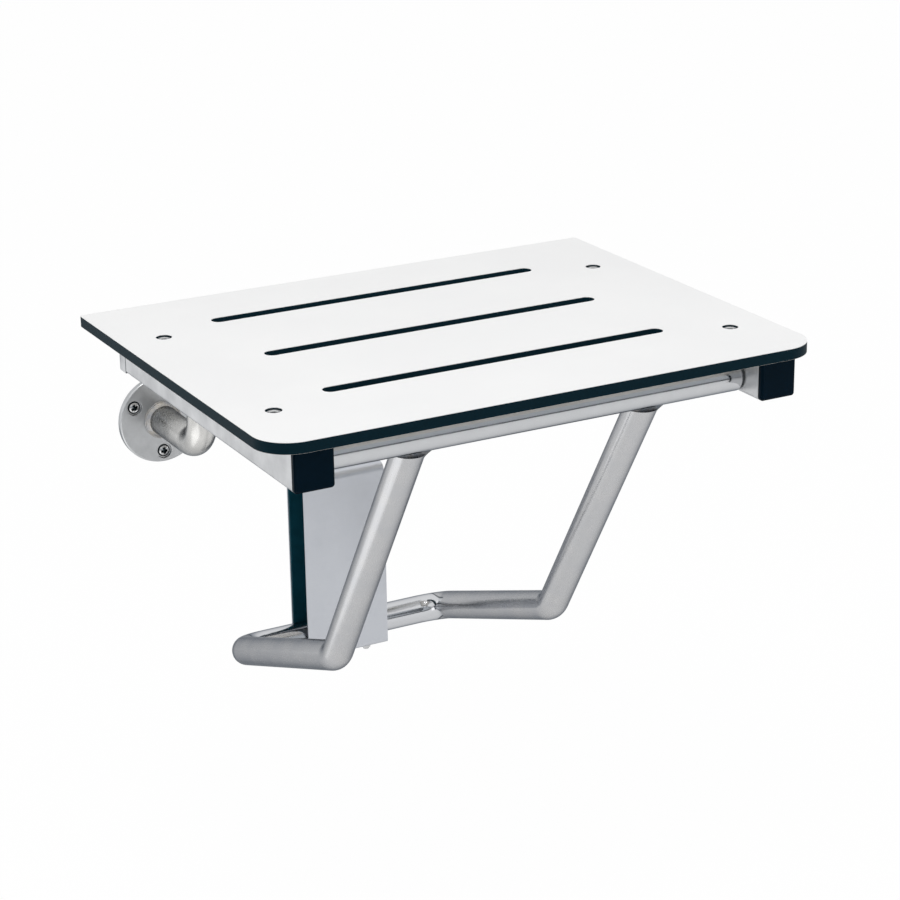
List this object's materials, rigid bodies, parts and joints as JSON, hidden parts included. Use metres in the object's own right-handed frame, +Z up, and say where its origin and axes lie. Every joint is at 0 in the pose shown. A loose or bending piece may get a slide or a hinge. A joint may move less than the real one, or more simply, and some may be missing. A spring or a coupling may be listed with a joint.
{
  "type": "fold down wall seat",
  "caption": "Wall mounted fold down seat: slotted laminate board on steel rails, hinged to wall arms and propped by a bent tube leg that slides in a wall guide.",
  "frame": {"origin": "middle of the guide's wall face, on the wall plane", "axes": "+X to the right along the wall as a sitter faces it, +Y into the wall, +Z up"},
  "size_m": [0.47, 0.44, 0.3596],
  "materials": {
    "laminate": "matt white compact laminate with a black core",
    "satin_steel": "satin stainless steel",
    "guide_steel": "fine brushed stainless sheet",
    "plain_steel": "plain turned steel",
    "fastener": "bright stainless fasteners",
    "weld": "brushed weld metal",
    "black_plastic": "black moulded plastic",
    "black_nylon": "black nylon",
    "liner": "black laminate liner",
    "nylon": "natural nylon"
  },
  "bodies": {
    "wall_bracket": {"wall_flange_left": "satin_steel", "wall_flange_right": "satin_steel", "wall_arm_left": "satin_steel", "wall_arm_right": "satin_steel", "arm_weld_left": "weld", "arm_weld_right": "weld", "hinge_barrel_left": "satin_steel", "hinge_barrel_right": "satin_steel", "hinge_bushes_left": "nylon", "hinge_bushes_right": "nylon", "flange_screws_left": "fastener", "flange_screws_right": "fastener", "guide_front_plate": "guide_steel", "guide_back_plate": "guide_steel", "guide_liner": "liner", "guide_wall_screws": "fastener", "guide_lock_screws": "fastener", "guide_lock_nuts": "fastener"},
    "seat": {"seat_board": "laminate", "seat_screws": "fastener", "seat_nuts": "plain_steel", "rail_left": "satin_steel", "rail_right": "satin_steel", "front_cap_left": "black_plastic", "front_cap_right": "black_plastic", "rail_end_left": "satin_steel", "rail_end_right": "satin_steel", "crossbar": "satin_steel", "crossbar_plug_left": "plain_steel", "crossbar_plug_right": "plain_steel", "stub_bush_left": "nylon", "stub_bush_right": "nylon", "hinge_boss_left": "plain_steel", "hinge_boss_right": "plain_steel", "hinge_bolt_left": "fastener", "hinge_bolt_right": "fastener", "hinge_washer_left": "fastener", "hinge_washer_right": "fastener"},
    "shoe": {"guide_shoe": "black_nylon"},
    "leg_frame": {"leg_tube": "satin_steel", "leg_welds": "weld"}
  },
  "joints": [
    {"name": "seat_fold", "type": "hinge", "parent": "wall_bracket", "child": "seat", "pos_m": [0, -0.095, 0.24193], "axis": [-1, 0, 0], "range_deg": [0, 90]},
    {"name": "shoe_slide", "type": "slide", "parent": "wall_bracket", "child": "shoe", "axis": [0, 0, 1], "range_m": [0, 0.1253]},
    {"name": "leg_swing", "type": "hinge", "parent": "shoe", "child": "leg_frame", "pos_m": [0, -0.019, -0.0693], "axis": [-1, 0, 0], "range_deg": [0, 38.53]}
  ],
  "couplings": [
    {"joint": "shoe_slide", "follows": "seat_fold", "m_per_rad": 0.07974},
    {"joint": "leg_swing", "follows": "seat_fold", "ratio": 0.428}
  ]
}
